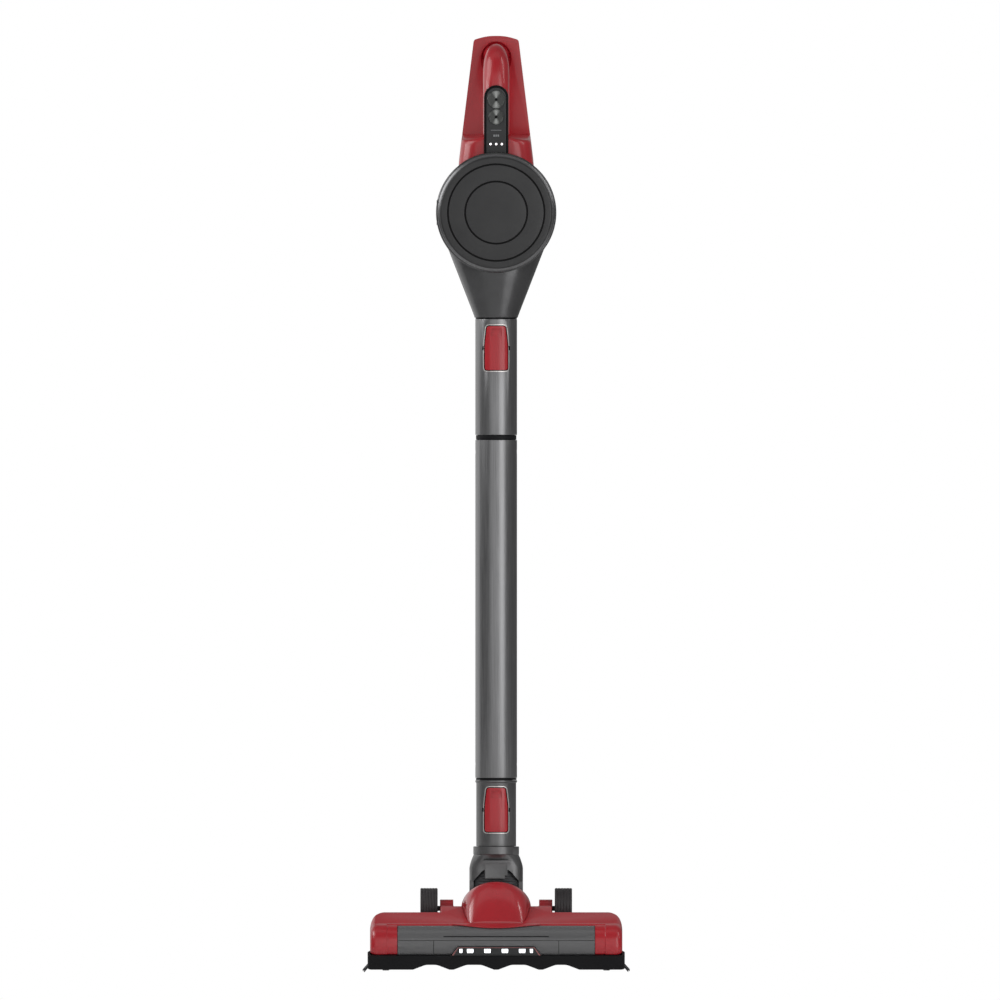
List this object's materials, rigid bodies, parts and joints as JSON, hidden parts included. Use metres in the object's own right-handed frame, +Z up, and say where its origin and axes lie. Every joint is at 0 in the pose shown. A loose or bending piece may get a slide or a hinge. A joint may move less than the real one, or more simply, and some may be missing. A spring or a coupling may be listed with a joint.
{
  "type": "cordless stick vacuum",
  "caption": "Cordless stick vacuum with a looped handle, removable battery, round hinged dust cup lid, straight metal wand, swivelling neck and wide floor head with a belt-driven brush.",
  "frame": {"origin": "centre of the flat dock face on the back of the handheld unit, level with the dust cup axis", "axes": "+Z up along the wand, +Y out of the dock face towards the wall dock, +X to the right when the machine is seen from the front"},
  "size_m": [0.3156, 0.2472, 1.1052],
  "materials": {
    "red_gloss": "high gloss",
    "dark_satin": "satin",
    "neck_satin": "satin",
    "black_matte": "fine texture",
    "black_panel": "satin gloss",
    "brushed_metal": "spun",
    "tube_metal": "anodised",
    "smoky_clear": "smoky clear",
    "rubber_black": "matt",
    "wheel_rubber": "soft matt",
    "white_light": "diffusing",
    "steel": "turned",
    "screen_steel": "fine mesh",
    "impeller_grey": "moulded",
    "contact_gold": "plated",
    "board_green": "solder mask",
    "filter_white": "pleated",
    "bristle_dark": "bristle",
    "motor_grey": "moulded",
    "cell_wrap": "shrink wrap"
  },
  "bodies": {
    "handheld": {"motor_housing": "red_gloss", "shoulder_housing": "red_gloss", "handle_loop": "red_gloss", "battery_bay": "red_gloss", "control_panel": "black_panel", "status_lights": "white_light", "control_board": "board_green", "suction_motor": "motor_grey", "exhaust_filter": "filter_white", "exhaust_grille": "dark_satin", "dock_plate": "dark_satin", "dock_contacts": "contact_gold", "inlet_housing": "dark_satin", "dust_cup": "smoky_clear", "lid_hinge_pin": "steel", "cyclone_screen": "screen_steel", "pre_motor_filter": "filter_white"},
    "power_key": {"power_button": "brushed_metal"},
    "mode_key": {"mode_button": "brushed_metal"},
    "battery": {"battery_case": "red_gloss", "battery_cells": "cell_wrap"},
    "battery_catch": {"battery_latch": "dark_satin"},
    "fan": {"impeller": "impeller_grey"},
    "lid": {"cup_lid": "dark_satin", "lid_seal": "rubber_black"},
    "lid_catch": {"lid_latch": "dark_satin"},
    "flap": {"inlet_flap": "rubber_black"},
    "wand": {"upper_coupling": "tube_metal", "upper_button_pin": "steel", "coupling_ring": "black_matte", "wand_tube": "tube_metal", "wire_channel": "black_matte", "lower_spigot": "black_matte"},
    "upper_release": {"upper_release_button": "red_gloss"},
    "neck": {"neck_coupling": "neck_satin", "lower_button_pin": "steel"},
    "lower_release": {"lower_release_button": "red_gloss"},
    "yoke": {"neck_yoke": "neck_satin", "neck_plate": "neck_satin", "neck_hose": "rubber_black", "pivot_pin_left": "steel", "pivot_pin_right": "steel"},
    "head": {"head_base": "black_matte", "head_cover": "red_gloss", "dome_cover": "red_gloss", "brush_window": "smoky_clear", "light_bezel": "black_panel", "light_lens": "white_light", "brush_bearing": "brushed_metal", "brush_motor": "motor_grey", "drive_belt": "rubber_black", "suction_throat": "black_matte", "corner_tuft_left": "bristle_dark", "corner_tuft_right": "bristle_dark"},
    "brush": {"brush_roll": "bristle_dark"},
    "drive_pulley": {"motor_pulley": "steel"},
    "wheel_left": {"rear_wheel_left": "wheel_rubber"},
    "wheel_right": {"rear_wheel_right": "wheel_rubber"},
    "roller_left": {"front_roller_left": "wheel_rubber"},
    "roller_right": {"front_roller_right": "wheel_rubber"}
  },
  "joints": [
    {"name": "power_button_press", "type": "slide", "parent": "handheld", "child": "power_key", "axis": [0, 1, 0], "range_m": [0, 0.0012], "stiffness_N_per_m": 500, "springref_m": -0.0012},
    {"name": "mode_button_press", "type": "slide", "parent": "handheld", "child": "mode_key", "axis": [0, 1, 0], "range_m": [0, 0.0012], "stiffness_N_per_m": 500, "springref_m": -0.0012},
    {"name": "battery_slide", "type": "slide", "parent": "handheld", "child": "battery", "axis": [0, 1, 0], "range_m": [0, 0.045]},
    {"name": "battery_latch_press", "type": "slide", "parent": "battery", "child": "battery_catch", "axis": [0, -1, 0], "range_m": [0, 0.0018], "stiffness_N_per_m": 600, "springref_m": -0.0012},
    {"name": "fan_spin", "type": "hinge", "parent": "handheld", "child": "fan", "pos_m": [0, -0.092, 0], "axis": [0, 1, 0], "continuous": true},
    {"name": "cup_lid_swing", "type": "hinge", "parent": "handheld", "child": "lid", "pos_m": [-0.0676, -0.1845, 0], "axis": [0, 0, -1], "range_deg": [0, 100]},
    {"name": "lid_latch_press", "type": "slide", "parent": "handheld", "child": "lid_catch", "axis": [-1, 0, 0], "range_m": [0, 0.0015], "stiffness_N_per_m": 600, "springref_m": -0.0012},
    {"name": "inlet_flap_swing", "type": "hinge", "parent": "handheld", "child": "flap", "pos_m": [0, -0.1255, -0.0607], "axis": [-1, 0, 0], "range_deg": [0, 40]},
    {"name": "wand_pull", "type": "slide", "parent": "handheld", "child": "wand", "axis": [0, 0, -1], "range_m": [0, 0.03]},
    {"name": "upper_release_press", "type": "hinge", "parent": "wand", "child": "upper_release", "pos_m": [0, -0.1649, -0.1596], "axis": [1, 0, 0], "range_deg": [0, 4], "stiffness_Nm_per_rad": 0.8, "springref_deg": -5.73},
    {"name": "neck_pull", "type": "slide", "parent": "wand", "child": "neck", "axis": [0, 0, -1], "range_m": [0, 0.05]},
    {"name": "lower_release_press", "type": "hinge", "parent": "neck", "child": "lower_release", "pos_m": [0, -0.1649, -0.7043], "axis": [1, 0, 0], "range_deg": [0, 4], "stiffness_Nm_per_rad": 0.8, "springref_deg": -5.73},
    {"name": "neck_swivel", "type": "hinge", "parent": "neck", "child": "yoke", "pos_m": [0, -0.142, -0.752], "axis": [0, 0, 1], "range_deg": [-80, 80]},
    {"name": "neck_pitch", "type": "hinge", "parent": "yoke", "child": "head", "pos_m": [0, -0.142, -0.80707], "axis": [1, 0, 0], "range_deg": [-25, 62], "deforming": ["neck_hose"]},
    {"name": "brush_spin", "type": "hinge", "parent": "head", "child": "brush", "pos_m": [0, -0.21602, -0.86365], "axis": [1, 0, 0], "continuous": true},
    {"name": "drive_pulley_spin", "type": "hinge", "parent": "head", "child": "drive_pulley", "pos_m": [0.1204, -0.18318, -0.85054], "axis": [1, 0, 0], "continuous": true},
    {"name": "rear_wheel_left_spin", "type": "hinge", "parent": "head", "child": "wheel_left", "pos_m": [-0.0793, -0.12895, -0.82084], "axis": [1, 0, 0], "continuous": true},
    {"name": "rear_wheel_right_spin", "type": "hinge", "parent": "head", "child": "wheel_right", "pos_m": [0.0793, -0.12895, -0.82084], "axis": [1, 0, 0], "continuous": true},
    {"name": "front_roller_left_spin", "type": "hinge", "parent": "head", "child": "roller_left", "pos_m": [-0.13, -0.22829, -0.88703], "axis": [1, 0, 0], "continuous": true},
    {"name": "front_roller_right_spin", "type": "hinge", "parent": "head", "child": "roller_right", "pos_m": [0.13, -0.22829, -0.88703], "axis": [1, 0, 0], "continuous": true}
  ],
  "couplings": [
    {"joint": "drive_pulley_spin", "follows": "brush_spin", "ratio": 2.5}
  ]
}
